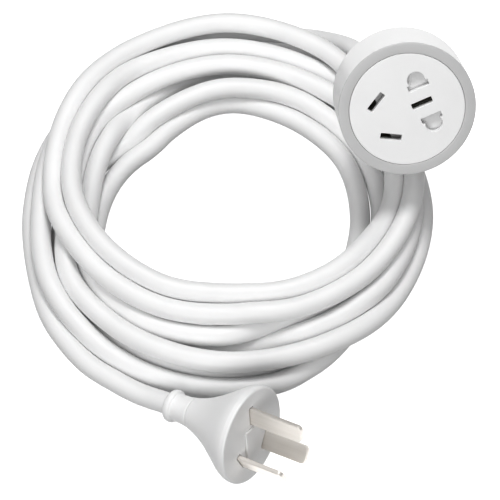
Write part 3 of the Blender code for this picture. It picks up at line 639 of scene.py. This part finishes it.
PLUG_RADIUS, PLUG_BODY_BACK, PLUG_PATTERN_Y = 17.0, 24.0, -2.0
PIN_WIDTH, PIN_THICKNESS = 6.35, 1.6
back = [
    (16.8, -2.8), (15.9, -4.8), (14.2, -7.4), (12.0, -10.6), (9.8, -14.0), (7.9, -17.4), (6.5, -20.6),
    (5.4, -PLUG_BODY_BACK),
]
flank = [tuple(p[:2]) for p in smooth_route([(r, z, 0) for r, z in back], 0.6)]
rim = fillet([(0, 0), (PLUG_RADIUS, 0), (PLUG_RADIUS, -1.9), (16.8, -2.8)], 0.8, 6)
inside = [
    (3.4, -PLUG_BODY_BACK), (3.4, -20.5), (6.3, -17.2), (8.4, -13.8), (10.1, -10.8), (10.4, -8.0),
    (11.0, -7.6), (11.0, -2.5), (0, -2.5),
]
body = turned("plug_shell", rim[:-1] + flank + inside, "plug_pvc", PLUG, 160, smooth_below=50)
window = bmesh.new()
prism_into(window, box_outline(8.6, 12.6, (0, -2.5), 0, 0.8), -3.5, 1)
cut(body, window, PLUG)
slots = bmesh.new()
for centre, lean in [*line_slots(PLUG_PATTERN_Y), ((0, PLUG_PATTERN_Y + EARTH_UP), 0)]:
    prism_into(slots, box_outline(PIN_THICKNESS + 0.6, PIN_WIDTH + 0.6, centre, lean), -3.5, 1)
cut(body, slots, PLUG)
level(body)
show(body, "plug_pvc", "plug_body")

front = PLUG_BODY_BACK + 0.3
profile = [
    (0, -front), (5.3, -front), (4.95, -26.4), (4.8, -29.0), (4.8, -30.8), (5.6, -31.2), (5.75, -32.0),
    (5.6, -33.0), (5.2, -PLUG_BACK), (3.85, -PLUG_BACK), (3.85, -PLUG_BACK + 2), (0, -PLUG_BACK + 2),
]
collar = turned("plug_collar", even(fillet(profile, 0.5, 4), 0.8), "plug_pvc", PLUG, 72, smooth_below=60)
show(collar, "plug_pvc", "plug_strain_relief")


def pin(name, node, centre, lean, length, inward, crimp):
    """A flat pin with a rounded tip, its narrow neck and its crimp."""
    half, tip = PIN_WIDTH / 2, 1.6
    left = arc((-half + tip, length - tip), (tip, tip), 180, 90, 10)
    right = arc((half - tip, length - tip), (tip, tip), 90, 0, 10)
    blade = bmesh.new()
    outline = [(half, -2.2), *right[::-1], *left[::-1], (-half, -2.2)]
    prism_into(blade, outline, -PIN_THICKNESS / 2, PIN_THICKNESS / 2)
    stand = Matrix.Translation((*centre, 0)) @ Matrix.Rotation(math.radians(90) - lean, 4, "Z")
    upright = Matrix.Rotation(math.radians(90), 4, "X")
    made = piece_of(blade, name, PLUG @ stand @ upright, "nickel")
    soften(made, 0.28, 3)
    neck = bmesh.new()
    waist = box_outline(PIN_THICKNESS - 0.3, 3.0, (centre[0], centre[1] - inward), lean)
    prism_into(neck, waist, -8.3, -1.7)
    cut(made, neck, PLUG, "UNION")
    barrel = bmesh.new()
    prism_into(barrel, circle_outline(1.4, crimp, 32), -11.0, -7.5)
    cut(made, barrel, PLUG, "UNION")
    level(made)
    return show(made, "nickel", node)


LINE_PIN, EARTH_PIN = 17.1, 20.0
left, right = line_slots(PLUG_PATTERN_Y)
blades = [
    pin("live_blade", "live_pin", *left, LINE_PIN, 0.0, (-5.4, -4.9)),
    pin("neutral_blade", "neutral_pin", *right, LINE_PIN, 0.0, (5.4, -4.9)),
    pin("earth_blade", "earth_pin", (0, PLUG_PATTERN_Y + EARTH_UP), 0.0, EARTH_PIN, 1.2, (0, 6.6)),
]

# ---------------------------------------------------------------- floor and light

ground = bmesh.new()
bmesh.ops.create_grid(ground, x_segments=40, y_segments=40, size=3.0)
floor_mesh = bpy.data.meshes.new("floor")
ground.to_mesh(floor_mesh)
ground.free()
floor = bpy.data.objects.new("floor", floor_mesh)
floor.location = (-0.06, 0, 0)
bpy.context.scene.collection.objects.link(floor)
white = bpy.data.materials.new("floor")
white.use_nodes = True
shader = white.node_tree.nodes["Principled BSDF"]
shader.inputs["Base Color"].default_value = (0.5, 0.5, 0.5, 1)
shader.inputs["Roughness"].default_value = 0.9
shader.inputs["Specular IOR Level"].default_value = 0.1
shader.inputs["Emission Color"].default_value = (1, 1, 1, 1)
shader.inputs["Emission Strength"].default_value = 0.97
floor_mesh.materials.append(white)
floor.visible_diffuse = False  # its glow would light the undersides of the turns

world = bpy.data.worlds.new("studio")
world.use_nodes = True
# A wide soft dome, bright overhead and dim at the horizon and below, so lower turns are in shade
sky = world.node_tree
sky.nodes["Background"].inputs["Color"].default_value = (1, 1, 1, 1)
direction = sky.nodes.new("ShaderNodeTexCoord")
split = sky.nodes.new("ShaderNodeSeparateXYZ")
height = sky.nodes.new("ShaderNodeMapRange")
height.interpolation_type = "SMOOTHSTEP"
height.inputs["From Min"].default_value = -0.1
height.inputs["From Max"].default_value = 0.7
height.inputs["To Min"].default_value = 0.08
height.inputs["To Max"].default_value = 0.6
sky.links.new(direction.outputs["Generated"], split.inputs["Vector"])
sky.links.new(split.outputs["Z"], height.inputs["Value"])
sky.links.new(height.outputs["Result"], sky.nodes["Background"].inputs["Strength"])
bpy.context.scene.world = world


def softbox(name, place, size, power):
    light = bpy.data.lights.new(name, "AREA")
    light.shape = "RECTANGLE"
    light.size, light.size_y = size
    light.energy = power
    made = bpy.data.objects.new(name, light)
    made.location = place
    made.rotation_euler = (Vector((-0.06, 0, 0)) - Vector(place)).to_track_quat("-Z", "Y").to_euler()
    made.visible_camera = False
    bpy.context.scene.collection.objects.link(made)


softbox("key", (-0.05, 0.10, 0.5), (0.16, 0.16), 1.05)
softbox("fill", (-0.3, -1.2, 0.6), (0.8, 0.8), 6.8)
bpy.context.scene.view_settings.view_transform = "Standard"
bpy.context.scene.view_settings.look = "None"
bpy.context.scene.view_settings.exposure = 0.0
bpy.context.scene.view_settings.gamma = 0.8
